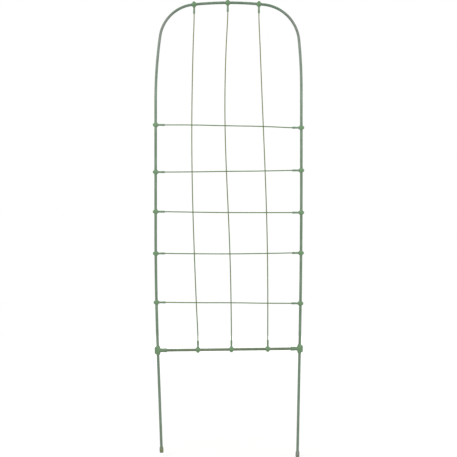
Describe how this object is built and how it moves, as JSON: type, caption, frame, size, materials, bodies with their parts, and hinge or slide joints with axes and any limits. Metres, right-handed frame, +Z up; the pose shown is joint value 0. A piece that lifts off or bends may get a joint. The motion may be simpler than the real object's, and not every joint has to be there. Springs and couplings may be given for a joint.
{
  "type": "plant support",
  "caption": "Tall arched trellis for climbing plants: a coated tube frame on two legs with a low crossbar and a woven grid of thin wires on sliding clips.",
  "frame": {"origin": "midway between the two straight legs, in the middle plane of the tube, level with the lowest edge of the right foot's sole", "axes": "+Z up along the legs, -Y towards the viewer in front, +X to the right seen from the front"},
  "size_m": [0.4962, 0.017, 1.5],
  "materials": {
    "coated_tube": "smooth green plastic coating, satin",
    "coated_wire": "olive green plastic coating, satin",
    "clip_plastic": "moulded green plastic, fine satin",
    "cap_plastic": "soft olive plastic, matt"
  },
  "bodies": {
    "frame": {"arch_tube": "coated_tube", "crossbar": "coated_tube", "tee_left": "clip_plastic", "tee_right": "clip_plastic", "foot_cap_left": "cap_plastic", "foot_cap_right": "cap_plastic"},
    "row_1": {"row_wire_1": "coated_wire", "row_clip_1_left": "clip_plastic"},
    "row_1_right_clip": {"row_clip_1_right": "clip_plastic"},
    "row_2": {"row_wire_2": "coated_wire", "row_clip_2_left": "clip_plastic"},
    "row_2_right_clip": {"row_clip_2_right": "clip_plastic"},
    "row_3": {"row_wire_3": "coated_wire", "row_clip_3_left": "clip_plastic"},
    "row_3_right_clip": {"row_clip_3_right": "clip_plastic"},
    "row_4": {"row_wire_4": "coated_wire", "row_clip_4_left": "clip_plastic"},
    "row_4_right_clip": {"row_clip_4_right": "clip_plastic"},
    "row_5": {"row_wire_5": "coated_wire", "row_clip_5_left": "clip_plastic"},
    "row_5_right_clip": {"row_clip_5_right": "clip_plastic"},
    "column_1": {"column_wire_1": "coated_wire", "column_clip_1_bottom": "clip_plastic"},
    "column_1_crown_clip": {"column_clip_1_top": "clip_plastic"},
    "column_2": {"column_wire_2": "coated_wire", "column_clip_2_bottom": "clip_plastic"},
    "column_2_crown_clip": {"column_clip_2_top": "clip_plastic"},
    "column_3": {"column_wire_3": "coated_wire", "column_clip_3_bottom": "clip_plastic"},
    "column_3_crown_clip": {"column_clip_3_top": "clip_plastic"}
  },
  "joints": [
    {"name": "row_1_slide", "type": "slide", "parent": "frame", "child": "row_1", "axis": [0, 0, 1], "range_m": [-0.055, 0.08]},
    {"name": "row_1_right_slide", "type": "slide", "parent": "frame", "child": "row_1_right_clip", "axis": [0, 0, 1], "range_m": [-0.0552, 0.0802]},
    {"name": "row_2_slide", "type": "slide", "parent": "frame", "child": "row_2", "axis": [0, 0, 1], "range_m": [-0.055, 0.055]},
    {"name": "row_2_right_slide", "type": "slide", "parent": "frame", "child": "row_2_right_clip", "axis": [0, 0, 1], "range_m": [-0.0552, 0.0552]},
    {"name": "row_3_slide", "type": "slide", "parent": "frame", "child": "row_3", "axis": [0, 0, 1], "range_m": [-0.055, 0.055]},
    {"name": "row_3_right_slide", "type": "slide", "parent": "frame", "child": "row_3_right_clip", "axis": [0.004, 0, 1], "range_m": [-0.0552, 0.0552]},
    {"name": "row_4_slide", "type": "slide", "parent": "frame", "child": "row_4", "axis": [-0.0074, 0, 1], "range_m": [-0.055, 0.055]},
    {"name": "row_4_right_slide", "type": "slide", "parent": "frame", "child": "row_4_right_clip", "axis": [0.0089, 0, 1], "range_m": [-0.0552, 0.0552]},
    {"name": "row_5_slide", "type": "slide", "parent": "frame", "child": "row_5", "axis": [-0.0222, 0, 0.9998], "range_m": [-0.055, 0.055]},
    {"name": "row_5_right_slide", "type": "slide", "parent": "frame", "child": "row_5_right_clip", "axis": [0.0149, 0, 0.9999], "range_m": [-0.0552, 0.0552]},
    {"name": "column_1_slide", "type": "slide", "parent": "frame", "child": "column_1", "axis": [0.9999, 0, 0.0129], "range_m": [-0.003, 0.015]},
    {"name": "column_1_crown_slide", "type": "slide", "parent": "frame", "child": "column_1_crown_clip", "axis": [0.9949, 0, 0.1007], "range_m": [-0.0032, 0.0152]},
    {"name": "column_2_slide", "type": "slide", "parent": "frame", "child": "column_2", "axis": [0.9999, 0, 0.0129], "range_m": [-0.015, 0.015]},
    {"name": "column_2_crown_slide", "type": "slide", "parent": "frame", "child": "column_2_crown_clip", "axis": [1, 0, 0.0021], "range_m": [-0.0152, 0.0152]},
    {"name": "column_3_slide", "type": "slide", "parent": "frame", "child": "column_3", "axis": [0.9999, 0, 0.0129], "range_m": [-0.015, 0.01]},
    {"name": "column_3_crown_slide", "type": "slide", "parent": "frame", "child": "column_3_crown_clip", "axis": [0.996, 0, -0.0891], "range_m": [-0.0152, 0.0102]}
  ],
  "couplings": [
    {"joint": "row_1_right_slide", "follows": "row_1_slide", "ratio": 1},
    {"joint": "row_2_right_slide", "follows": "row_2_slide", "ratio": 1},
    {"joint": "row_3_right_slide", "follows": "row_3_slide", "ratio": 1},
    {"joint": "row_4_right_slide", "follows": "row_4_slide", "ratio": 1},
    {"joint": "row_5_right_slide", "follows": "row_5_slide", "ratio": 1},
    {"joint": "column_1_crown_slide", "follows": "column_1_slide", "ratio": 1.005},
    {"joint": "column_2_crown_slide", "follows": "column_2_slide", "ratio": 0.9999},
    {"joint": "column_3_crown_slide", "follows": "column_3_slide", "ratio": 1.0039}
  ]
}
